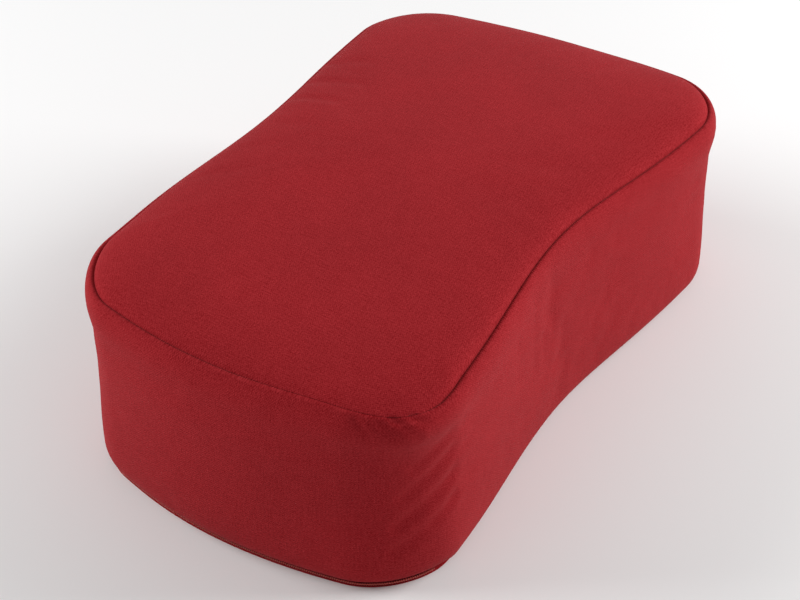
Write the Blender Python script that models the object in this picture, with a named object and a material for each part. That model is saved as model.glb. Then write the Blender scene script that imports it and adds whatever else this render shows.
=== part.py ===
# A boxed floor cushion: a waisted, rectangular top panel and a base panel, joined by
# a side band and filled firm, with a closed coil zip in the seam round the base.
# Metres, +Z up. +X runs along the length. The end that carries the zip is at -X.

import math
from collections import namedtuple

import bmesh
import bpy
import numpy

MM = 0.001

# The panels' pattern, before the filling swells it
HALF_LENGTH = 180 * MM
HALF_WIDTH = 122 * MM
CORNER_RADIUS = 40 * MM
WAIST_REACH = 96 * MM
WAIST_AT_TOP = 16 * MM
WAIST_AT_BASE = 14 * MM
END_BOW_AT_TOP = 15 * MM
END_BOW_AT_BASE = 20 * MM
BLEND_DROP = 0.35

# Heights above the surface that the cushion stands on
TOP_SEAM_HEIGHT = 127 * MM
WAIST_SEAM_RISE = 6 * MM
BAND_FOLD_HEIGHT = 5.6 * MM

# The top panel: a quick roll over the seam, then a long low crown
EDGE_ROLL_RISE = 5 * MM
EDGE_ROLL_REACH = 9 * MM
CROWN_RISE = 9 * MM
CROWN_REACH = 84 * MM
SEAM_NOTCH = 1.6 * MM
CROWN_INSETS = [inset * MM for inset in (104, 84, 64, 46, 30, 18, 10, 5, 2)]

# The side band, ring by ring: drop is the share of its height below the top seam
BandRing = namedtuple("BandRing", "name drop swell")
BAND_RINGS = (
    BandRing("under the seam", 0.015, 1.8 * MM),
    BandRing("shoulder start", 0.045, 4.8 * MM),
    BandRing("shoulder", 0.095, 6.2 * MM),
    BandRing("below the shoulder", 0.18, 5.4 * MM),
    BandRing("upper wall", 0.30, 4.6 * MM),
    BandRing("middle wall", 0.46, 4.4 * MM),
    BandRing("lower wall", 0.62, 4.8 * MM),
    BandRing("sag start", 0.77, 5.2 * MM),
    BandRing("sag", 0.89, 5.2 * MM),
    BandRing("above the fold", 0.965, 4.6 * MM),
    BandRing("bottom fold", 1.0, 3.2 * MM),
)

# The seam round the base: a channel where the zip sits, a narrow groove elsewhere
CHANNEL_SWELL = -1.6 * MM
CHANNEL_TOP = 4.8 * MM
CHANNEL_BOTTOM = 0.9 * MM
GROOVE_TOP = 3.8 * MM
GROOVE_BOTTOM = 2.9 * MM
LIP_SWELL = 2.0 * MM
LIP_BESIDE_ZIP = 0.7 * MM
LIP_BESIDE_GROOVE = 2.5 * MM
CHANNEL_FADE = 14 * MM

# The base panel, from its rolled edge inward to the flat that rests
BaseRing = namedtuple("BaseRing", "name inset height")
ROLLED_EDGE_SWELL = 1.6 * MM
BASE_RINGS = (
    BaseRing("rolled edge", 0.0, 0.3 * MM),
    BaseRing("flat starts", 3.4 * MM, 0.0),
    BaseRing("outer flat", 16 * MM, 0.0),
    BaseRing("middle flat", 44 * MM, 0.0),
    BaseRing("inner flat", 84 * MM, 0.0),
)

# How the filling has pushed each corner off the pattern, in plan
Corner = namedtuple("Corner", "name x_side y_side along across")
CORNERS = (
    Corner("far", 1, 1, -3 * MM, -1 * MM),
    Corner("left", -1, 1, 4 * MM, -10 * MM),
    Corner("near", -1, -1, 1 * MM, -1 * MM),
    Corner("right", 1, -1, 10 * MM, 0.0),
)
CORNER_PUSH_REACH = 54 * MM
CORNER_PUSH_INSET = 12 * MM

# Steps round the plan, counter-clockwise from the +X side
LONG_STEPS = 22
SHORT_STEPS = 14
CORNER_STEPS = 10
RUN_STEPS = (SHORT_STEPS, CORNER_STEPS, LONG_STEPS, CORNER_STEPS) * 2
STEPS_ROUND = sum(RUN_STEPS)

# The zip: a coil of interlocked nylon teeth on a woven tape, from the left corner
# along the end at -X and round the near corner
TOOTH_PITCH = 1.3 * MM
TOOTH_COUNT = 166
TOOTH_RELIEF = 0.4
ZIP_START_STEP = sum(RUN_STEPS[:4]) - 1
ZIP_LENGTH = TOOTH_PITCH * TOOTH_COUNT
COIL_BACK = -0.4 * MM
COIL_DEPTH = 1.7 * MM
COIL_HALF_HEIGHT = 1.45 * MM
COIL_MIDDLE = 2.85 * MM
SectionPoint = namedtuple("SectionPoint", "depth height")
COIL_SECTION = (
    SectionPoint(0.0, -1.0),
    SectionPoint(0.7, -0.9),
    SectionPoint(1.0, -0.4),
    SectionPoint(1.0, 0.4),
    SectionPoint(0.7, 0.9),
    SectionPoint(0.0, 1.0),
)
TAPE_BACK = -1.2 * MM
TAPE_DEPTH = 0.45 * MM
TAPE_HALF_HEIGHT = 1.6 * MM
TAPE_STEPS = 60
TAPE_SECTION = (
    SectionPoint(0.0, -1.0),
    SectionPoint(1.0, -1.0),
    SectionPoint(1.0, 1.0),
    SectionPoint(0.0, 1.0),
)

SMOOTH_ANGLE = math.radians(45)
WELD = 0.01 * MM


def mix(start, end, share):
    return start + (end - start) * share


def smooth_step(share):
    share = min(max(share, 0.0), 1.0)
    return share * share * (3 - 2 * share)


# Plan shape

def rounded_rectangle(turn, grow):
    """The pattern's outline, grown outward; turn runs from 0 to 1 round it."""
    half_x = HALF_LENGTH + grow
    half_y = HALF_WIDTH + grow
    radius = CORNER_RADIUS + grow
    steps = turn * STEPS_ROUND
    run = 0
    while steps > RUN_STEPS[run] and run < len(RUN_STEPS) - 1:
        steps -= RUN_STEPS[run]
        run += 1
    share = steps / RUN_STEPS[run]
    if run % 4 == 0:
        x = half_x
        y = mix(radius - half_y, half_y - radius, share)
    elif run % 4 == 2:
        x = mix(half_x - radius, radius - half_x, share)
        y = half_y
    else:
        first = run % 4 == 1
        angle = math.pi / 2 * (share if first else share + 1)
        x = (half_x - radius) * (1 if first else -1) + radius * math.cos(angle)
        y = half_y - radius + radius * math.sin(angle)
    side = 1 if run < 4 else -1
    return side * x, side * y


def waist_share(x):
    return math.exp(-(x / WAIST_REACH) ** 2)


def corner_push(x, y):
    push_x = 0.0
    push_y = 0.0
    for corner in CORNERS:
        away_x = x - corner.x_side * (HALF_LENGTH - CORNER_PUSH_INSET)
        away_y = y - corner.y_side * (HALF_WIDTH - CORNER_PUSH_INSET)
        share = math.exp(-(away_x ** 2 + away_y ** 2) / (2 * CORNER_PUSH_REACH ** 2))
        push_x += share * corner.along
        push_y += share * corner.across
    return push_x, push_y


def plan_point(turn, grow, drop):
    """The waisted and bowed outline; drop is 0 at the top seam and 1 at the base."""
    x, y = rounded_rectangle(turn, grow)
    blend = smooth_step(drop / BLEND_DROP)
    waist = mix(WAIST_AT_TOP, WAIST_AT_BASE, blend)
    bow = mix(END_BOW_AT_TOP, END_BOW_AT_BASE, blend)
    y_share = min(abs(y) / HALF_WIDTH, 1.0)
    waisted_y = y * (1 - waist / HALF_WIDTH * waist_share(x))
    bowed_x = x * (1 + bow / HALF_LENGTH * (1 - y_share ** 2))
    push_x, push_y = corner_push(bowed_x, waisted_y)
    return bowed_x + push_x, waisted_y + push_y


# The zip's run along the base outline, measured as a length

def zip_run():
    """Turns from the zip's start onward, and the length of outline up to each of them."""
    start = ZIP_START_STEP / STEPS_ROUND
    turns = numpy.linspace(start - 0.1, min(start + 0.5, 1.0), 600)
    points = numpy.array([plan_point(turn, 0.0, 1.0) for turn in turns])
    steps = numpy.hypot(*numpy.diff(points, axis=0).T)
    lengths = numpy.concatenate([[0.0], numpy.cumsum(steps)])
    return turns, lengths - numpy.interp(start, turns, lengths)


ZIP_TURNS, ZIP_LENGTHS = zip_run()


def zip_turn(length):
    return float(numpy.interp(length, ZIP_LENGTHS, ZIP_TURNS))


def zip_share(turn):
    """1 along the zip, fading to 0 past both of its ends."""
    length = float(numpy.interp(turn, ZIP_TURNS, ZIP_LENGTHS))
    past_end = max(-length, length - ZIP_LENGTH) - 2 * MM
    return 1 - smooth_step(past_end / CHANNEL_FADE)


# Rings of the filled body: each gives a point for a turn round the plan

def crown_point(inset, turn):
    x, y = plan_point(turn, 0.0, 0.0)
    scale = 1 - inset / HALF_WIDTH
    roll = EDGE_ROLL_RISE * (1 - math.exp(-inset / EDGE_ROLL_REACH))
    crown = CROWN_RISE * (1 - max(0.0, 1 - inset / CROWN_REACH) ** 2)
    seam = TOP_SEAM_HEIGHT + WAIST_SEAM_RISE * waist_share(x * scale)
    return x * scale, y * scale, seam + roll + crown


def seam_point(turn):
    x, y = plan_point(turn, -SEAM_NOTCH / 2, 0.0)
    return x, y, TOP_SEAM_HEIGHT + WAIST_SEAM_RISE * waist_share(x) - SEAM_NOTCH


def band_point(ring, turn):
    x, y = plan_point(turn, ring.swell, ring.drop)
    top = TOP_SEAM_HEIGHT + WAIST_SEAM_RISE * waist_share(x)
    return x, y, mix(top, BAND_FOLD_HEIGHT, ring.drop)


def channel_point(groove_height, channel_height, swell, turn):
    x, y = plan_point(turn, swell, 1.0)
    return x, y, mix(groove_height, channel_height, zip_share(turn))


def base_point(ring, turn):
    x, y = plan_point(turn, ROLLED_EDGE_SWELL, 1.0)
    scale = 1 - ring.inset / HALF_WIDTH
    return x * scale, y * scale, ring.height


def body_points():
    """One row of points for each ring, from the crown's centre to the base's centre."""
    turns = [step / STEPS_ROUND for step in range(STEPS_ROUND)]
    rows = [[crown_point(inset, turn) for turn in turns] for inset in CROWN_INSETS]
    rows.append([seam_point(turn) for turn in turns])
    rows += [[band_point(ring, turn) for turn in turns] for ring in BAND_RINGS]
    seam_rows = (
        (GROOVE_TOP, CHANNEL_TOP, CHANNEL_SWELL),
        (GROOVE_BOTTOM, CHANNEL_BOTTOM, CHANNEL_SWELL),
        (LIP_BESIDE_GROOVE, LIP_BESIDE_ZIP, LIP_SWELL),
    )
    for groove_height, channel_height, swell in seam_rows:
        rows.append([channel_point(groove_height, channel_height, swell, turn) for turn in turns])
    rows += [[base_point(ring, turn) for turn in turns] for ring in BASE_RINGS]
    return rows


# Building

def wrap_grid(rows, fill_ends):
    """A grid bent into a tube: each row of points closes on itself."""
    tube = bmesh.new()
    around = len(rows[0])
    down = len(rows) - 1
    bmesh.ops.create_grid(tube, x_segments=around, y_segments=down, size=0.5)
    for vertex in tube.verts:
        column = round((vertex.co.x + 0.5) * around) % around
        row = round((0.5 - vertex.co.y) * down)
        vertex.co = rows[row][column]
    bmesh.ops.remove_doubles(tube, verts=tube.verts, dist=WELD)
    open_edges = [edge for edge in tube.edges if edge.is_boundary]
    caps = bmesh.ops.holes_fill(tube, edges=open_edges, sides=0)["faces"]
    if fill_ends == "fan":
        bmesh.ops.poke(tube, faces=caps)
    bmesh.ops.recalc_face_normals(tube, faces=tube.faces)
    return tube


def finish(tube, name, look, collection):
    mesh = bpy.data.meshes.new(name)
    tube.to_mesh(mesh)
    tube.free()
    mesh.materials.append(look)
    mesh.shade_smooth()
    mesh.set_sharp_from_angle(angle=SMOOTH_ANGLE)
    piece = bpy.data.objects.new(name, mesh)
    collection.objects.link(piece)
    return piece


def strip_row(turn, back, depth, middle, half_height, section):
    row = []
    for corner in section:
        x, y = plan_point(turn, back + depth * corner.depth, 1.0)
        row.append((x, y, middle + half_height * corner.height))
    return row


def make_body(look, collection):
    return finish(wrap_grid(body_points(), "fan"), "cushion", look, collection)


def make_coil(look, collection):
    rows = []
    for tooth in range(TOOTH_COUNT):
        for place, relief in ((0.25, 0.0), (0.75, TOOTH_RELIEF)):
            turn = zip_turn((tooth + place) * TOOTH_PITCH)
            depth = COIL_DEPTH * (1 - relief)
            half_height = COIL_HALF_HEIGHT * (1 - relief / 3)
            rows.append(strip_row(turn, COIL_BACK, depth, COIL_MIDDLE, half_height, COIL_SECTION))
    return finish(wrap_grid(rows, "flat"), "zip_coil", look, collection)


def make_tape(look, collection):
    rows = []
    for step in range(TAPE_STEPS + 1):
        turn = zip_turn(step / TAPE_STEPS * ZIP_LENGTH)
        rows.append(strip_row(turn, TAPE_BACK, TAPE_DEPTH, COIL_MIDDLE, TAPE_HALF_HEIGHT, TAPE_SECTION))
    return finish(wrap_grid(rows, "flat"), "zip_tape", look, collection)


def srgb(red, green, blue):
    return [((value / 255 + 0.055) / 1.055) ** 2.4 for value in (red, green, blue)] + [1.0]


def material(name, color, roughness):
    look = bpy.data.materials.new(name)
    look.use_nodes = True
    shader = look.node_tree.nodes["Principled BSDF"]
    shader.inputs["Base Color"].default_value = color
    shader.inputs["Roughness"].default_value = roughness
    shader.inputs["Metallic"].default_value = 0.0
    return look


def centre_on_origin(pieces):
    """Puts the origin under the middle of the whole, on the surface it stands on."""
    corners = [vertex.co for piece in pieces for vertex in piece.data.vertices]
    middle_x = (min(co.x for co in corners) + max(co.x for co in corners)) / 2
    middle_y = (min(co.y for co in corners) + max(co.y for co in corners)) / 2
    for piece in pieces:
        for vertex in piece.data.vertices:
            vertex.co.x -= middle_x
            vertex.co.y -= middle_y


def main():
    for thing in list(bpy.data.objects):
        bpy.data.objects.remove(thing, do_unlink=True)
    collection = bpy.data.collections.new("floor_cushion")
    bpy.context.scene.collection.children.link(collection)
    cloth = material("burgundy_cotton", srgb(150, 34, 43), 0.9)
    nylon = material("red_nylon_coil", srgb(164, 48, 52), 0.5)
    tape = material("red_zip_tape", srgb(122, 24, 32), 0.85)
    pieces = [
        make_body(cloth, collection),
        make_coil(nylon, collection),
        make_tape(tape, collection),
    ]
    centre_on_origin(pieces)


main()
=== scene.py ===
import math
import bmesh
import bpy
import numpy as np
from mathutils import Matrix, Vector, noise


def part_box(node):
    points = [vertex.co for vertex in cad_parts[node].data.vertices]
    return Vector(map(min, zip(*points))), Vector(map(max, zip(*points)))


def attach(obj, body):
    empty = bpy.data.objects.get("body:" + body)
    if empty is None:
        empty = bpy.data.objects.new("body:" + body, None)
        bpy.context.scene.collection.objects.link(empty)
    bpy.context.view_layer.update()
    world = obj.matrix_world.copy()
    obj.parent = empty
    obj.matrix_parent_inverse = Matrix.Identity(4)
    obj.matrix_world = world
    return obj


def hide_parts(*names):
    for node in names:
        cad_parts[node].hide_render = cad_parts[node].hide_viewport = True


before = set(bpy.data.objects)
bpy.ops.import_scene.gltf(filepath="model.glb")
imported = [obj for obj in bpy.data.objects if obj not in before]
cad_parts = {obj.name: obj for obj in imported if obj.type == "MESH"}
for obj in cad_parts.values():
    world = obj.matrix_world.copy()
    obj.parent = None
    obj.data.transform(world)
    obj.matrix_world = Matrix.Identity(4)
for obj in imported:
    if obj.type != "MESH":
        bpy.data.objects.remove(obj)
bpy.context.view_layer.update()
print("frame loaded")


# the pattern that the cloth pieces are cut to, and how the filling has swelled it, in metres
coverShape = {
    "halfLength": 0.180,
    "halfWidth": 0.122,
    "cornerRadius": 0.040,
    "waistReach": 0.096,
    "waistAtTop": 0.016,
    "waistAtBase": 0.014,
    "endBowAtTop": 0.015,
    "endBowAtBase": 0.020,
    "blendDrop": 0.35,
    "topSeamHeight": 0.127,
    "waistSeamRise": 0.006,
    "foldHeight": 0.0056,
    "edgeRollRise": 0.005,
    "edgeRollReach": 0.009,
    "crownRise": 0.009,
    "crownReach": 0.084,
    "wallSwell": 0.0046,
    "wallStart": 0.0035,
    "shoulderSwell": 0.0018,
    "shoulderDrop": 0.013,
    "shoulderReach": 0.011,
    "sagSwell": 0.0008,
    "sagHeight": 0.024,
    "sagReach": 0.022,
    "foldTuck": 0.0022,
    "foldReach": 0.0030,
    "pushReach": 0.054,
    "pushInset": 0.012,
}

# each corner's side along x and y, and how far the filling pushes it along x and y
cornerPushes = {
    "far": (1, 1, -0.003, -0.001),
    "left": (-1, 1, 0.004, -0.010),
    "near": (-1, -1, 0.001, -0.001),
    "right": (1, -1, 0.010, 0.0),
}

# steps round the plan, for one short side, one corner and one long side
roundSteps = {"short": 56, "corner": 36, "long": 92}

seamShape = {
    "softDepth": 0.0014,
    "softReach": 0.0034,
    "creaseDepth": 0.0020,
    "creaseReach": 0.0006,
    "creaseTuck": 0.0012,
    "plainFold": 0.0034,
    "channelFade": 0.014,
    "channelMargin": 0.002,
    "stitchPitch": 0.0016,
    "stitchHalfLength": 0.00062,
    "stitchRadius": 0.00024,
    "stitchRise": 0.0002,
    "hiddenDrop": 0.0012,
}

# the turned-under edge below the band, row by row, in millimetres out from the pattern line and up
underEdge = [
    {"plain": (2.2, 2.7), "zip": (1.6, 5.1)},
    {"plain": (1.6, 2.2), "zip": (0.6, 5.0)},
    {"plain": (1.0, 1.9), "zip": (-0.6, 4.9)},
    {"plain": (0.6, 1.7), "zip": (-1.5, 4.6)},
    {"plain": (0.4, 1.5), "zip": (-1.7, 3.2)},
    {"plain": (0.4, 1.2), "zip": (-1.5, 1.2)},
    {"plain": (0.5, 0.9), "zip": (-0.6, 0.8)},
    {"plain": (0.6, 0.7), "zip": (0.2, 0.65)},
    {"plain": (0.5, 0.5), "zip": (0.8, 0.6)},
    {"plain": (0.3, 0.3), "zip": (1.1, 0.4)},
    {"plain": (-0.1, 0.1), "zip": (1.0, 0.15)},
    {"plain": (-0.8, 0.0), "zip": (0.4, 0.0)},
]

# rows of the cover: how far from the seam they start and end, and how many
coverRows = {
    "crownInner": 0.116,
    "crownOuter": 0.022,
    "crownRows": 27,
    "edgeOuter": 0.0195,
    "edgeRows": 18,
    "nearSeam": 0.00012,
    "shoulderEnd": 0.0155,
    "shoulderRows": 18,
    "wallStart": 0.0185,
    "wallEnd": 0.013,
    "wallRows": 31,
    "hemStart": 0.011,
    "hemEnd": 0.0003,
    "hemRows": 11,
    "baseScales": (0.99, 0.96, 0.9, 0.8, 0.65, 0.5, 0.35, 0.2, 0.06),
    "weldDistance": 1e-6,
}

# how deep the top seam lies at places round the edge, where 1 is one run of the pattern
seamPlaces = {
    "run": [0.0, 1.0, 1.5, 2.2, 2.5, 2.8, 3.5, 4.0, 4.6, 4.85, 5.15, 5.55, 5.8, 6.5, 7.0, 7.5, 8.0],
    "share": [1.0, 1.0, 0.9, 1.0, 1.2, 1.0, 1.25, 1.1, 0.9, 0.35, 0.12, 0.12, 1.3, 1.2, 1.1, 1.3, 1.0],
}

zipShape = {
    "toothPitch": 0.0013,
    "toothCount": 166,
    "startInCorner": 0.9,
    "coilOut": 0.0008,
    "coilHeight": 0.0023,
    "coilTilt": -32,
    "toothOffset": 0.00068,
    "toothHalfWidth": 0.00046,
    "toothHalfDepth": 0.00062,
    "toothHalfHeight": 0.00086,
    "toothLean": 9,
    "tapeOut": -0.0008,
    "tapeHeight": 0.0029,
    "tapeDepth": 0.0004,
    "tapeHalfHeight": 0.0018,
    "tapeTilt": 0,
}


def mixed(start, end, share):
    return start + (end - start) * share


def eased(share):
    share = np.clip(share, 0.0, 1.0)
    return share * share * (3 - 2 * share)


def runLengths():
    oneHalf = [roundSteps["short"], roundSteps["corner"], roundSteps["long"], roundSteps["corner"]]
    return oneHalf + oneHalf


def roundedRectangle(steps, grow):
    # steps count counter-clockwise from the +X side's lower end
    halfX = coverShape["halfLength"] + grow
    halfY = coverShape["halfWidth"] + grow
    radius = coverShape["cornerRadius"] + grow
    x = np.zeros_like(steps)
    y = np.zeros_like(steps)
    runStart = 0
    for run, length in enumerate(runLengths()):
        here = (steps >= runStart) & (steps <= runStart + length)
        share = (steps[here] - runStart) / length
        side = 1 if run < 4 else -1
        if run % 4 == 0:
            runX = np.full_like(share, halfX)
            runY = mixed(radius - halfY, halfY - radius, share)
        elif run % 4 == 2:
            runX = mixed(halfX - radius, radius - halfX, share)
            runY = np.full_like(share, halfY)
        else:
            angle = math.pi / 2 * (share + (0 if run % 4 == 1 else 1))
            runX = (halfX - radius) * (1 if run % 4 == 1 else -1) + radius * np.cos(angle)
            runY = halfY - radius + radius * np.sin(angle)
        x[here] = side * runX
        y[here] = side * runY
        runStart += length
    return x, y


def waistShare(x):
    return np.exp(-(x / coverShape["waistReach"]) ** 2)


def outline(steps, grow, drop):
    # drop is 0 at the top seam and 1 at the base
    x, y = roundedRectangle(steps, grow)
    blend = float(eased(drop / coverShape["blendDrop"]))
    waist = mixed(coverShape["waistAtTop"], coverShape["waistAtBase"], blend)
    bow = mixed(coverShape["endBowAtTop"], coverShape["endBowAtBase"], blend)
    yShare = np.minimum(np.abs(y) / coverShape["halfWidth"], 1.0)
    newY = y * (1 - waist / coverShape["halfWidth"] * waistShare(x))
    newX = x * (1 + bow / coverShape["halfLength"] * (1 - yShare ** 2))
    pushX = np.zeros_like(x)
    pushY = np.zeros_like(x)
    for sideX, sideY, along, across in cornerPushes.values():
        awayX = newX - sideX * (coverShape["halfLength"] - coverShape["pushInset"])
        awayY = newY - sideY * (coverShape["halfWidth"] - coverShape["pushInset"])
        share = np.exp(-(awayX ** 2 + awayY ** 2) / (2 * coverShape["pushReach"] ** 2))
        pushX += share * along
        pushY += share * across
    return newX + pushX, newY + pushY


stepsRound = sum(runLengths())
allSteps = np.arange(stepsRound + 1, dtype=float)
bandHeight = coverShape["topSeamHeight"] - coverShape["foldHeight"]


def lengthAlong(drop):
    x, y = outline(allSteps, 0.0, drop)
    return np.concatenate([[0.0], np.cumsum(np.hypot(np.diff(x), np.diff(y)))])


seamLengths = lengthAlong(0.0)
baseLengths = lengthAlong(1.0)
zipStartStep = sum(runLengths()[:3]) + zipShape["startInCorner"] * roundSteps["corner"]
zipStart = float(np.interp(zipStartStep, allSteps, baseLengths))
zipLength = zipShape["toothPitch"] * zipShape["toothCount"]


# 1 beside the zip and 0 where the base seam is plain
def zipShare():
    pastEnd = np.maximum(zipStart - baseLengths, baseLengths - zipStart - zipLength)
    return 1 - eased((pastEnd - seamShape["channelMargin"]) / seamShape["channelFade"])


def topSeam(x):
    return coverShape["topSeamHeight"] + coverShape["waistSeamRise"] * waistShare(x)


def seamShare():
    runStarts = np.concatenate([[0.0], np.cumsum(runLengths())])
    placeSteps = np.interp(seamPlaces["run"], np.arange(9), runStarts)
    return np.interp(allSteps, placeSteps, seamPlaces["share"])


def seamDepth(away):
    soft = seamShape["softDepth"] * math.exp(-away / seamShape["softReach"])
    crease = seamShape["creaseDepth"] * math.exp(-away / seamShape["creaseReach"])
    return seamShare() * (soft + crease)


def crownRing(inset):
    x, y = outline(allSteps, 0.0, 0.0)
    scale = 1 - inset / coverShape["halfWidth"]
    roll = coverShape["edgeRollRise"] * (1 - math.exp(-inset / coverShape["edgeRollReach"]))
    crown = coverShape["crownRise"] * (1 - max(0.0, 1 - inset / coverShape["crownReach"]) ** 2)
    height = topSeam(x * scale) + roll + crown - seamDepth(inset)
    return np.stack([x * scale, y * scale, height], axis=1)


def wallSwell(down):
    up = bandHeight - down
    swell = coverShape["wallSwell"] * (1 - math.exp(-down / coverShape["wallStart"]))
    fromShoulder = (down - coverShape["shoulderDrop"]) / coverShape["shoulderReach"]
    fromSag = (up - coverShape["sagHeight"]) / coverShape["sagReach"]
    swell += coverShape["shoulderSwell"] * math.exp(-fromShoulder ** 2)
    swell += coverShape["sagSwell"] * math.exp(-fromSag ** 2)
    return swell - coverShape["foldTuck"] * math.exp(-up / coverShape["foldReach"])


def bandRing(down):
    drop = down / bandHeight
    tuck = seamShape["creaseTuck"] * math.exp(-down / seamShape["creaseReach"])
    x, y = outline(allSteps, wallSwell(down) - tuck, drop)
    foldLine = mixed(seamShape["plainFold"], coverShape["foldHeight"], zipShare())
    return np.stack([x, y, mixed(topSeam(x), foldLine, drop) - seamDepth(down)], axis=1)


def underRing(edge, scale):
    beside = zipShare()
    plainX, plainY = outline(allSteps, edge["plain"][0] / 1000, 1.0)
    zipX, zipY = outline(allSteps, edge["zip"][0] / 1000, 1.0)
    x = mixed(plainX, zipX, beside) * scale
    y = mixed(plainY, zipY, beside) * scale
    return np.stack([x, y, mixed(edge["plain"][1], edge["zip"][1], beside) / 1000], axis=1)


def coverRings():
    rows = coverRows
    crownFlat = np.linspace(rows["crownInner"], rows["crownOuter"], rows["crownRows"])
    crownEdge = np.geomspace(rows["edgeOuter"], rows["nearSeam"], rows["edgeRows"])
    crownPlaces = np.concatenate([crownFlat, crownEdge])
    shoulder = np.geomspace(rows["nearSeam"], rows["shoulderEnd"], rows["shoulderRows"])
    wall = np.linspace(rows["wallStart"], bandHeight - rows["wallEnd"], rows["wallRows"])
    hem = bandHeight - np.geomspace(rows["hemStart"], rows["hemEnd"], rows["hemRows"])
    bandPlaces = np.concatenate([[0.0], shoulder, wall, hem])
    crown = [crownRing(inset) for inset in crownPlaces]
    band = [bandRing(down) for down in bandPlaces]
    under = [underRing(edge, 1.0) for edge in underEdge]
    under += [underRing(underEdge[-1], scale) for scale in rows["baseScales"]]
    return crownPlaces, bandPlaces, crown, band, under


# one closed skin over rows of points that each run round and come back to their start
def closedSkin(name, rows, grain=None):
    count, around = rows.shape[:2]
    work = bmesh.new()
    bmesh.ops.create_grid(work, x_segments=around - 1, y_segments=count - 1, size=1.0)
    mesh = bpy.data.meshes.new(name)
    work.to_mesh(mesh)
    work.free()
    mesh.vertices.foreach_set("co", rows.ravel())
    if grain is not None:
        corners = np.zeros(len(mesh.loops), dtype=np.int32)
        mesh.loops.foreach_get("vertex_index", corners)
        rowOfCorner = np.repeat(np.arange(len(mesh.polygons)) // (around - 1), 4)
        layer = mesh.uv_layers.new(name="clothGrain")
        layer.data.foreach_set("uv", grain(rows, rowOfCorner, corners).ravel())
    work = bmesh.new()
    work.from_mesh(mesh)
    bmesh.ops.remove_doubles(work, verts=work.verts, dist=coverRows["weldDistance"])
    caps = bmesh.ops.holes_fill(work, edges=[edge for edge in work.edges if edge.is_boundary])["faces"]
    bmesh.ops.poke(work, faces=caps)
    bmesh.ops.recalc_face_normals(work, faces=work.faces)
    work.to_mesh(mesh)
    work.free()
    mesh.shade_smooth()
    piece = bpy.data.objects.new(name, mesh)
    bpy.context.collection.objects.link(piece)
    return piece


# shape of the cloth between the seams

softness = {
    "lumpSize": 0.055,
    "lumpDepth": 0.0006,
    "smallLumpSize": 0.017,
    "smallLumpDepth": 0.00010,
    "quietNearSeam": 0.006,
}

# where the filling leans over the near top corner, in metres: the middle, the reach and the push
cornerLean = {
    "middle": (-0.172, -0.113, 0.122),
    "reach": 0.024,
    "push": (-0.0030, -0.0034, -0.0034),
}

# creases seen in the photograph: both ends, the half width, and the depth, in metres
folds = {
    "nearCornerHigh": ((-0.187, -0.101, 0.125), (-0.180, -0.112, 0.113), 0.0030, 0.0008),
    "nearCornerMiddle": ((-0.181, -0.107, 0.125), (-0.173, -0.119, 0.112), 0.0030, 0.0009),
    "nearCornerLow": ((-0.173, -0.115, 0.124), (-0.164, -0.122, 0.112), 0.0030, 0.0008),
    "nearCornerLevel": ((-0.184, -0.106, 0.123), (-0.168, -0.120, 0.121), 0.0022, 0.0004),
    "nearCornerLeft": ((-0.191, -0.090, 0.125), (-0.188, -0.099, 0.115), 0.0028, 0.0009),
    "rightFaceLow": ((-0.182, -0.108, 0.028), (-0.146, -0.126, 0.052), 0.0048, 0.0013),
    "rightFaceMiddle": ((-0.180, -0.110, 0.046), (-0.146, -0.126, 0.070), 0.0048, 0.0013),
    "rightFaceHigh": ((-0.178, -0.112, 0.066), (-0.148, -0.126, 0.088), 0.0046, 0.0010),
    "rightFaceTop": ((-0.172, -0.116, 0.086), (-0.152, -0.125, 0.102), 0.0046, 0.0006),
    "waistLeft": ((-0.072, -0.116, 0.118), (-0.066, -0.117, 0.072), 0.0060, 0.0003),
    "waistMiddle": ((-0.046, -0.112, 0.118), (-0.044, -0.114, 0.066), 0.0060, 0.0004),
    "waistRight": ((-0.022, -0.110, 0.118), (-0.020, -0.112, 0.070), 0.0060, 0.0003),
    "farTopLeft": ((0.027, 0.104, 0.137), (0.030, 0.072, 0.143), 0.0050, 0.0007),
    "farTopRight": ((0.050, 0.104, 0.137), (0.056, 0.070, 0.143), 0.0050, 0.0006),
    "farTopEnd": ((0.076, 0.108, 0.136), (0.084, 0.082, 0.142), 0.0050, 0.0005),
}


def outwardNormals(points):
    alongRow = np.roll(points[:, :-1], -1, axis=1) - np.roll(points[:, :-1], 1, axis=1)
    alongRow = np.concatenate([alongRow, alongRow[:, :1]], axis=1)
    downRows = np.gradient(points, axis=0)
    normals = np.cross(downRows, alongRow)
    lengths = np.linalg.norm(normals, axis=2, keepdims=True)
    return normals / np.maximum(lengths, 1e-12)


def lumps(points, size, depth):
    flat = points.reshape(-1, 3) / size
    heights = np.array([noise.noise(Vector(place)) for place in flat])
    return depth * heights.reshape(points.shape[:2])


def leaned(points):
    away = np.linalg.norm(points - cornerLean["middle"], axis=2, keepdims=True) / cornerLean["reach"]
    return points + np.exp(-away ** 2) * cornerLean["push"]


def creases(points):
    depths = np.zeros(points.shape[:2])
    for start, end, width, depth in folds.values():
        way = np.array(end) - np.array(start)
        share = np.clip(((points - start) @ way) / (way @ way), 0.0, 1.0)
        away = np.linalg.norm(points - start - share[..., None] * way, axis=2) / width
        depths -= depth * (1 - 0.9 * away ** 2) * np.exp(-away ** 2)
    return depths


# cloth simulation

clothCage = {
    "stepStride": 2,
    "rowSpacing": 0.0065,
    "pressure": 4.0,
    "growth": -0.008,
    "lastFrame": 20,
    "travel": 0.0015,
    "startLump": 0.0012,
    "crownReach": 0.110,
    "quality": 6,
    "mass": 0.3,
    "stretchStiffness": 15,
    "shearStiffness": 5,
    "bendStiffness": 0.6,
    "crownShare": 0.2,
    "bandShare": 0.3,
}


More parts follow.
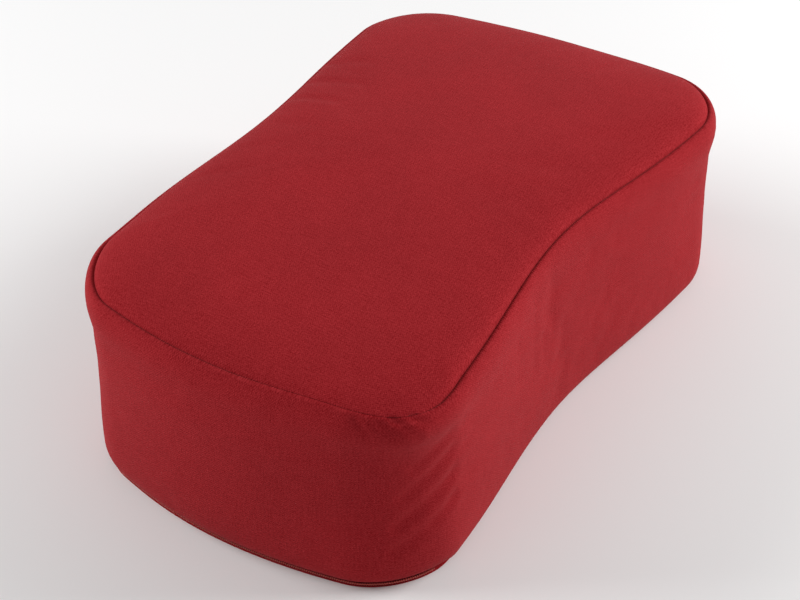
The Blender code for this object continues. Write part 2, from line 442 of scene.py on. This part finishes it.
def cageRows():
    spacing = clothCage["rowSpacing"]
    reach = clothCage["crownReach"]
    overCrown = np.linspace(-reach, 0.0, int(reach / spacing))
    downBand = np.linspace(0.0, bandHeight, int(bandHeight / spacing))[1:]
    places = np.concatenate([overCrown, downBand])
    rows = [crownRing(-place) if place < 0 else bandRing(place) for place in places]
    return places, np.array(rows)[:, ::clothCage["stepStride"]]


def pinnedVertices(cage, rows, places):
    held = np.isclose(places, 0.0) | np.isclose(places, bandHeight)
    heldPoints = rows[held].reshape(-1, 3)
    heldPlaces = {tuple(np.round(point, 6)) for point in heldPoints}
    return [v.index for v in cage.data.vertices if tuple(round(c, 6) for c in v.co) in heldPlaces]


def clothMovement():
    places, rows = cageRows()
    startLumps = lumps(rows, softness["lumpSize"], clothCage["startLump"])
    rows = rows + startLumps[..., None] * outwardNormals(rows)
    cage = closedSkin("clothCage", rows)
    group = cage.vertex_groups.new(name="seams")
    group.add(pinnedVertices(cage, rows, places), 1.0, "REPLACE")
    cloth = cage.modifiers.new("cloth", "CLOTH")
    cloth.settings.quality = clothCage["quality"]
    cloth.settings.mass = clothCage["mass"]
    cloth.settings.tension_stiffness = clothCage["stretchStiffness"]
    cloth.settings.compression_stiffness = clothCage["stretchStiffness"]
    cloth.settings.shear_stiffness = clothCage["shearStiffness"]
    cloth.settings.bending_stiffness = clothCage["bendStiffness"]
    cloth.settings.effector_weights.gravity = 0.0
    cloth.settings.use_pressure = True
    cloth.settings.uniform_pressure_force = clothCage["pressure"]
    cloth.settings.shrink_min = clothCage["growth"]
    cloth.settings.vertex_group_mass = "seams"
    cloth.point_cache.frame_start = 1
    cloth.point_cache.frame_end = clothCage["lastFrame"]
    for number in range(1, clothCage["lastFrame"] + 1):
        bpy.context.scene.frame_set(number)
    settled = cage.evaluated_get(bpy.context.evaluated_depsgraph_get()).to_mesh()
    after = np.zeros(len(settled.vertices) * 3)
    settled.vertices.foreach_get("co", after)
    before = np.zeros(len(cage.data.vertices) * 3)
    cage.data.vertices.foreach_get("co", before)
    moved = (after - before).reshape(-1, 3)
    count, around = rows.shape[:2]
    movement = moved[:count * (around - 1)].reshape(count, around - 1, 3)
    bpy.context.scene.frame_set(1)
    bpy.data.objects.remove(cage)
    return places, np.concatenate([movement, movement[:, :1]], axis=1)


# cover

def clothLift(points, places):
    # what the simulated cage does, laid over the finer cover; the mean of each row is left out
    cagePlaces, movement = clothMovement()
    cageSteps = allSteps[::clothCage["stepStride"]]
    lift = np.zeros(points.shape[:2])
    normals = outwardNormals(points)
    for axis in range(3):
        wide = np.array([np.interp(allSteps, cageSteps, row) for row in movement[:, :, axis]])
        fine = [np.interp(places, cagePlaces, column, left=0.0, right=0.0) for column in wide.T]
        lift += np.array(fine).T * normals[:, :, axis]
    lift -= lift[:, :-1].mean(axis=1, keepdims=True)
    lift *= np.where(places < 0, clothCage["crownShare"], clothCage["bandShare"])[:, None]
    print("cloth lift up to", round(float(np.abs(lift).max()) * 1000, 2), "mm")
    return np.clip(lift, -clothCage["travel"], clothCage["travel"])


def coverGrain(rows, rowOfCorner, corners):
    row, step = np.divmod(corners, rows.shape[1])
    places = rows[row, step]
    upright = np.stack([seamLengths[step], places[:, 2]], axis=1)
    bandEnd = crownCount + bandCount + len(underEdge) // 2
    onBand = (rowOfCorner >= crownCount) & (rowOfCorner < bandEnd)
    return np.where(onBand[:, None], upright, places[:, :2])


crownPlaces, bandPlaces, crownRows, bandRows, underRows = coverRings()
crownCount = len(crownRows)
bandCount = len(bandRows)
coverPoints = np.array(crownRows + bandRows + underRows)
lowest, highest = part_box("cushion")
shift = (np.array(lowest) + np.array(highest)) / 2
shift -= (coverPoints.min(axis=(0, 1)) + coverPoints.max(axis=(0, 1))) / 2
shift[2] = 0.0
coverPoints = leaned(coverPoints + shift)
places = np.concatenate([-crownPlaces, bandPlaces, np.full(len(underRows), bandHeight)])
quiet = 1 - np.exp(-np.abs(places) / softness["quietNearSeam"])
quiet *= 1 - np.exp(-np.abs(places - bandHeight) / softness["quietNearSeam"])
lift = lumps(coverPoints, softness["lumpSize"], softness["lumpDepth"])
lift += lumps(coverPoints, softness["smallLumpSize"], softness["smallLumpDepth"])
lift += clothLift(coverPoints, places)
lift = lift * quiet[:, None] + creases(coverPoints)
coverPoints += lift[..., None] * outwardNormals(coverPoints)
cover = closedSkin("coverCloth", coverPoints, coverGrain)
print("cover", len(cover.data.polygons), "faces")


# stitches of the top seam: real thread, coloured near black so that the beads also paint the shade of the
# seam valley and the shadows between stitches

def laidCopies(name, shape, turns):
    # one copy of a small shape for each place and turn
    work = bmesh.new()
    for turn in turns:
        laid = shape.copy()
        laid.transform(turn)
        work.from_mesh(laid)
        bpy.data.meshes.remove(laid)
    bmesh.ops.recalc_face_normals(work, faces=work.faces)
    mesh = bpy.data.meshes.new(name)
    work.to_mesh(mesh)
    work.free()
    bpy.data.meshes.remove(shape)
    mesh.shade_smooth()
    piece = bpy.data.objects.new(name, mesh)
    bpy.context.collection.objects.link(piece)
    return piece


def bead(size, segments):
    work = bmesh.new()
    bmesh.ops.create_uvsphere(work, u_segments=segments, v_segments=segments - 2, radius=1.0)
    bmesh.ops.scale(work, vec=size, verts=work.verts)
    mesh = bpy.data.meshes.new("bead")
    work.to_mesh(mesh)
    work.free()
    return mesh


def seamStitchesAndShade(name):
    seamLine = coverPoints[crownCount]
    turns = []
    hidden = seamShape["hiddenDrop"] * (1 - np.minimum(seamShare(), 1.0))
    pitch = seamShape["stitchPitch"]
    for length in np.arange(0, seamLengths[-1] - pitch, pitch):
        start, end = [
            Vector([np.interp(place, seamLengths, seamLine[:, axis]) for axis in range(3)])
            for place in (length, length + pitch)
        ]
        rise = seamShape["stitchRise"] - float(np.interp(length, seamLengths, hidden))
        middle = (start + end) / 2 + Vector((0, 0, rise))
        facing = (end - start).to_track_quat("X", "Z").to_matrix().to_4x4()
        turns.append(Matrix.Translation(middle) @ facing)
    size = (seamShape["stitchHalfLength"], seamShape["stitchRadius"], seamShape["stitchRadius"])
    return laidCopies(name, bead(size, 6), turns)


stitches = seamStitchesAndShade("seamStitchesAndShade")
print("stitches", len(stitches.data.polygons), "faces")


# zip

def alongBase(length, out, height):
    # place and directions at a length along the base seam from the zip's start
    step = np.interp(length + zipStart, baseLengths, allSteps)
    x, y = outline(np.array([step - 0.5, step, step + 0.5]), out, 1.0)
    along = Vector((x[2] - x[0], y[2] - y[0], 0.0)).normalized()
    inward = Vector((-along.y, along.x, 0.0))
    turn = Matrix((along, inward, Vector((0, 0, 1)))).transposed().to_4x4()
    return Matrix.Translation((x[1] + shift[0], y[1] + shift[1], height)) @ turn


def toothRow(name):
    turns = []
    tilt = Matrix.Rotation(-math.radians(zipShape["coilTilt"]), 4, "X")
    for number in range(2 * zipShape["toothCount"]):
        length = (number + 0.5) * zipShape["toothPitch"] / 2
        side = 1 if number % 2 else -1
        raised = Matrix.Translation((0, 0, side * zipShape["toothOffset"]))
        lean = Matrix.Rotation(math.radians(zipShape["toothLean"]), 4, "Y")
        turns.append(alongBase(length, zipShape["coilOut"], zipShape["coilHeight"]) @ tilt @ raised @ lean)
    size = (zipShape["toothHalfWidth"], zipShape["toothHalfDepth"], zipShape["toothHalfHeight"])
    return laidCopies(name, bead(size, 8), turns)


def tapeStrip(name):
    # flat cross-sections with rounded edges, one row to a place along the zip
    turns = np.linspace(0, 2 * math.pi, 17)
    inward = zipShape["tapeDepth"] / 2 * np.sign(np.sin(turns)) * np.abs(np.sin(turns)) ** 0.5
    upward = zipShape["tapeHalfHeight"] * np.sign(np.cos(turns)) * np.abs(np.cos(turns)) ** 0.5
    tilt = Matrix.Rotation(-math.radians(zipShape["tapeTilt"]), 4, "X")
    rows = []
    for length in np.linspace(0.001, zipLength - 0.001, 260):
        place = alongBase(length, zipShape["tapeOut"], zipShape["tapeHeight"]) @ tilt
        rows.append([tuple(place @ Vector((0, a, u))) for a, u in zip(inward, upward)])
    return closedSkin(name, np.array(rows), tapeGrain)


def tapeGrain(rows, rowOfCorner, corners):
    row, step = np.divmod(corners, rows.shape[1])
    return np.stack([row * zipLength / rows.shape[0], rows[row, step][:, 2]], axis=1)


coil = toothRow("zipCoil")
tape = tapeStrip("zipTape")
print("zip", len(coil.data.polygons), "faces")


# materials

weaveLook = {
    "threadPitch": 0.00075,
    "heatherPitch": 0.0009,
    "streakLength": 0.012,
    "streakWidth": 0.0009,
    "wearSize": 0.060,
}


def addNode(tree, kind, **settings):
    node = tree.nodes.new(kind)
    for name, value in settings.items():
        setattr(node, name, value)
    return node


def maths(tree, operation, first, second):
    node = addNode(tree, "ShaderNodeMath", operation=operation)
    for socket, value in zip(node.inputs, (first, second)):
        if isinstance(value, (int, float)):
            socket.default_value = value
        else:
            tree.links.new(value, socket)
    return node.outputs[0]


def blended(tree, first, firstShare, second, secondShare):
    firstPart = maths(tree, "MULTIPLY", first, firstShare)
    secondPart = maths(tree, "MULTIPLY", second, secondShare)
    return maths(tree, "ADD", firstPart, secondPart)


def noiseMask(tree, place, scale, stretch, detail):
    spread = addNode(tree, "ShaderNodeMapping")
    spread.inputs["Scale"].default_value = stretch
    tree.links.new(place, spread.inputs["Vector"])
    grain = addNode(tree, "ShaderNodeTexNoise")
    grain.inputs["Scale"].default_value = scale
    grain.inputs["Detail"].default_value = detail
    tree.links.new(spread.outputs["Vector"], grain.inputs["Vector"])
    return grain.outputs["Fac"]


def plainWeave():
    group = bpy.data.node_groups.new("plainWeave", "ShaderNodeTree")
    group.interface.new_socket(name="Grain", in_out="INPUT", socket_type="NodeSocketVector")
    group.interface.new_socket(name="Tint", in_out="OUTPUT", socket_type="NodeSocketFloat")
    group.interface.new_socket(name="Height", in_out="OUTPUT", socket_type="NodeSocketFloat")
    group.interface.new_socket(name="Wear", in_out="OUTPUT", socket_type="NodeSocketFloat")
    entry = group.nodes.new("NodeGroupInput")
    leave = group.nodes.new("NodeGroupOutput")
    place = entry.outputs["Grain"]
    apart = addNode(group, "ShaderNodeSeparateXYZ")
    group.links.new(place, apart.inputs[0])
    perThread = math.pi / weaveLook["threadPitch"]
    warp = maths(group, "SINE", maths(group, "MULTIPLY", apart.outputs["X"], perThread), 0.0)
    weft = maths(group, "SINE", maths(group, "MULTIPLY", apart.outputs["Y"], perThread), 0.0)
    knuckles = maths(group, "MULTIPLY", warp, weft)
    heather = noiseMask(group, place, 1 / weaveLook["heatherPitch"], (1, 1, 1), 2.0)
    acrossThreads = weaveLook["streakWidth"] / weaveLook["streakLength"]
    streaks = noiseMask(group, place, 1 / weaveLook["streakWidth"], (1, acrossThreads, 1), 2.0)
    rows = noiseMask(group, place, 1 / weaveLook["streakWidth"], (acrossThreads, 1, 1), 2.0)
    threads = blended(group, streaks, 0.55, rows, 0.45)
    tint = blended(group, threads, 0.35, heather, 0.65)
    tint = maths(group, "ADD", tint, maths(group, "MULTIPLY", knuckles, 0.06))
    height = blended(group, knuckles, 0.5, heather, 0.6)
    height = maths(group, "ADD", height, maths(group, "MULTIPLY", threads, 0.8))
    wear = noiseMask(group, place, 1 / weaveLook["wearSize"], (1, 1, 1), 3.0)
    group.links.new(tint, leave.inputs["Tint"])
    group.links.new(height, leave.inputs["Height"])
    group.links.new(wear, leave.inputs["Wear"])
    return group


def colourBand(tree, value, low, high, dark, light):
    ramp = addNode(tree, "ShaderNodeValToRGB")
    ramp.color_ramp.elements[0].position = low
    ramp.color_ramp.elements[1].position = high
    ramp.color_ramp.elements[0].color = (*dark, 1)
    ramp.color_ramp.elements[1].color = (*light, 1)
    tree.links.new(value, ramp.inputs["Fac"])
    return ramp.outputs["Color"]


def clothMaterial(name, dark, light, sheen, bumpDepth):
    material = bpy.data.materials.new(name)
    material.use_nodes = True
    tree = material.node_tree
    shader = tree.nodes["Principled BSDF"]
    grain = addNode(tree, "ShaderNodeUVMap", uv_map="clothGrain")
    weave = addNode(tree, "ShaderNodeGroup", node_tree=plainWeaveGroup)
    tree.links.new(grain.outputs["UV"], weave.inputs["Grain"])
    threads = colourBand(tree, weave.outputs["Tint"], 0.31, 0.69, dark, light)
    wear = colourBand(tree, weave.outputs["Wear"], 0.35, 0.65, (0.93, 0.93, 0.93), (1.0, 1.0, 1.0))
    mix = addNode(tree, "ShaderNodeMix", data_type="RGBA", blend_type="MULTIPLY")
    mix.inputs["Factor"].default_value = 1.0
    tree.links.new(threads, mix.inputs["A"])
    tree.links.new(wear, mix.inputs["B"])
    tree.links.new(mix.outputs["Result"], shader.inputs["Base Color"])
    bump = addNode(tree, "ShaderNodeBump")
    bump.inputs["Strength"].default_value = 0.3
    bump.inputs["Distance"].default_value = bumpDepth
    tree.links.new(weave.outputs["Height"], bump.inputs["Height"])
    tree.links.new(bump.outputs["Normal"], shader.inputs["Normal"])
    shader.inputs["Roughness"].default_value = 0.88
    shader.inputs["Specular IOR Level"].default_value = 0.08
    shader.inputs["Sheen Weight"].default_value = sheen
    shader.inputs["Sheen Roughness"].default_value = 0.45
    shader.inputs["Sheen Tint"].default_value = (1.0, 0.55, 0.55, 1)
    return material


def nylonMaterial(name, dark, light):
    material = bpy.data.materials.new(name)
    material.use_nodes = True
    tree = material.node_tree
    shader = tree.nodes["Principled BSDF"]
    place = addNode(tree, "ShaderNodeTexCoord")
    spots = noiseMask(tree, place.outputs["Object"], 900.0, (1, 1, 1), 2.0)
    tree.links.new(colourBand(tree, spots, 0.3, 0.7, dark, light), shader.inputs["Base Color"])
    shader.inputs["Roughness"].default_value = 0.42
    return material


plainWeaveGroup = plainWeave()
coverLook = clothMaterial("burgundyCotton", (0.215, 0.0010, 0.0040), (0.400, 0.0240, 0.0300), 0.06, 0.00035)
tapeLook = clothMaterial("tapeWeave", (0.10, 0.005, 0.008), (0.20, 0.012, 0.018), 0.1, 0.0002)
coilLook = nylonMaterial("redNylon", (0.42, 0.045, 0.035), (0.56, 0.085, 0.065))
# near-black thread: partly the thread's own colour, partly painted shade for the seam valley
threadAndSeamShadeLook = nylonMaterial("seamThreadPaintedShade", (0.030, 0.002, 0.004), (0.060, 0.004, 0.007))
for piece, look in ((cover, coverLook), (stitches, threadAndSeamShadeLook), (tape, tapeLook), (coil, coilLook)):
    piece.data.materials.append(look)
print("materials done")


# each piece goes on the root body and the CAD parts are hidden; the part name listed beside each piece is
# not used

slotNames = ((cover, "cover_cloth"), (stitches, "cover_cloth"), (tape, "zip_tape"), (coil, "zip_coil"))
for piece, slotName in slotNames:
    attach(piece, "root")
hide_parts("cushion")
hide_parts("zip_tape")
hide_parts("zip_coil")


# floor, light and camera

studio = {
    "floorSize": 12.0,
    "floorGrey": 0.86,
    "worldGrey": 0.95,
    "worldStrength": 0.36,
    "lampSize": 1.2,
    "lampAway": 1.8,
    "leftTurn": -98,
    "leftHeight": 0.9,
    "leftPower": 33,
    "rightTurn": 102,
    "rightHeight": 0.9,
    "rightPower": 41,
}

shot = {
    "turn": -56.77,
    "tilt": 37.88,
    "roll": -0.40,
    "away": 1.210,
    "lens": 88.45,
    "target": (-0.0098, -0.001, 0.045),
}


def backward(turn, tilt):
    turn = math.radians(turn)
    tilt = math.radians(tilt)
    return Vector((math.sin(turn) * math.cos(tilt), -math.cos(turn) * math.cos(tilt), math.sin(tilt)))


def lookFrom(piece, place, target, roll):
    facing = (place - target).to_track_quat("Z", "Y").to_matrix().to_4x4()
    piece.matrix_world = Matrix.Translation(place) @ facing @ Matrix.Rotation(math.radians(roll), 4, "Z")


def softBox(name, turn, height, power):
    lamp = bpy.data.lights.new(name, "AREA")
    lamp.energy = power
    lamp.size = studio["lampSize"]
    piece = bpy.data.objects.new(name, lamp)
    bpy.context.collection.objects.link(piece)
    place = backward(shot["turn"] + turn, 0.0) * studio["lampAway"]
    place.z = height
    lookFrom(piece, place, Vector((0, 0, 0.06)), 0.0)
    return piece


work = bmesh.new()
bmesh.ops.create_grid(work, x_segments=1, y_segments=1, size=studio["floorSize"] / 2)
floorMesh = bpy.data.meshes.new("studioFloor")
work.to_mesh(floorMesh)
work.free()
floor = bpy.data.objects.new("studioFloor", floorMesh)
bpy.context.collection.objects.link(floor)
floorLook = bpy.data.materials.new("paleFloor")
floorLook.use_nodes = True
grey = studio["floorGrey"]
floorLook.node_tree.nodes["Principled BSDF"].inputs["Base Color"].default_value = (grey, grey, grey, 1)
floorLook.node_tree.nodes["Principled BSDF"].inputs["Roughness"].default_value = 0.9
floorMesh.materials.append(floorLook)

softBox("leftSoftBox", studio["leftTurn"], studio["leftHeight"], studio["leftPower"])
softBox("rightSoftBox", studio["rightTurn"], studio["rightHeight"], studio["rightPower"])
world = bpy.data.worlds.new("paleStudio")
world.use_nodes = True
grey = studio["worldGrey"]
world.node_tree.nodes["Background"].inputs["Color"].default_value = (grey, grey, grey, 1)
world.node_tree.nodes["Background"].inputs["Strength"].default_value = studio["worldStrength"]
bpy.context.scene.world = world

lens = bpy.data.cameras.new("shotCamera")
lens.lens = shot["lens"]
lens.sensor_width = 36
camera = bpy.data.objects.new("shotCamera", lens)
bpy.context.collection.objects.link(camera)
target = Vector(shot["target"])
lookFrom(camera, target + backward(shot["turn"], shot["tilt"]) * shot["away"], target, shot["roll"])
bpy.context.scene.camera = camera
bpy.context.scene.view_settings.view_transform = "Standard"
print("studio done")
